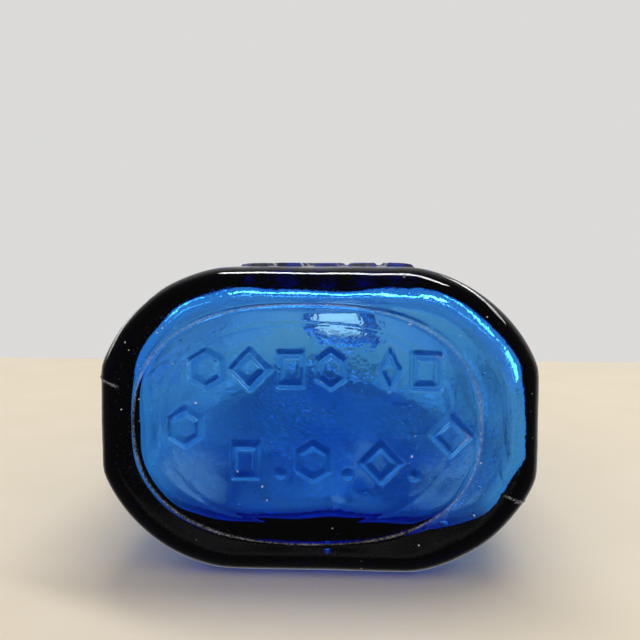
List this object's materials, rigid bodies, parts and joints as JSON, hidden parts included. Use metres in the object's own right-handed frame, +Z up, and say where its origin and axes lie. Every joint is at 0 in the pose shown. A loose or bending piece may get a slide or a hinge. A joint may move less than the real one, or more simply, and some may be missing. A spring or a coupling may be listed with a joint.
{
  "type": "flat oval glass medicine bottle with screw cap",
  "caption": "Flat oval medicine bottle of thick cobalt-blue glass, lying on its back panel, with a short threaded neck closed by a lined tinplate screw cap.",
  "frame": {"origin": "middle of the object's length and width, on the surface that the back panel rests on", "axes": "+Y along the bottle from its base to its cap, +X across its width, +Z up out of the embossed front panel"},
  "size_m": [0.08, 0.1798, 0.056],
  "materials": {
    "cobalt_glass": "clear cobalt blue pressed and blown glass, smooth with faint mould texture",
    "cap_enamel": "cream enamelled tinplate, worn at the knurls and the rolled edge",
    "pulp_board": "matt grey-brown pulp board",
    "waxed_paper": "waxed paper with a slight sheen"
  },
  "bodies": {
    "bottle": {"glass_bottle": "cobalt_glass"},
    "liner": {"liner_board": "pulp_board", "liner_facing": "waxed_paper"},
    "cap": {"cap_shell": "cap_enamel"}
  },
  "joints": [
    {"name": "cap_lift", "type": "slide", "parent": "bottle", "child": "liner", "axis": [0, 1, 0], "range_m": [0, 0.0128]},
    {"name": "cap_turn", "type": "hinge", "parent": "liner", "child": "cap", "pos_m": [0, 0.084, 0.028], "axis": [0, 1, 0], "range_deg": [0, 1080]}
  ],
  "couplings": [
    {"joint": "cap_lift", "follows": "cap_turn", "m_per_rad": 0.00067376}
  ]
}
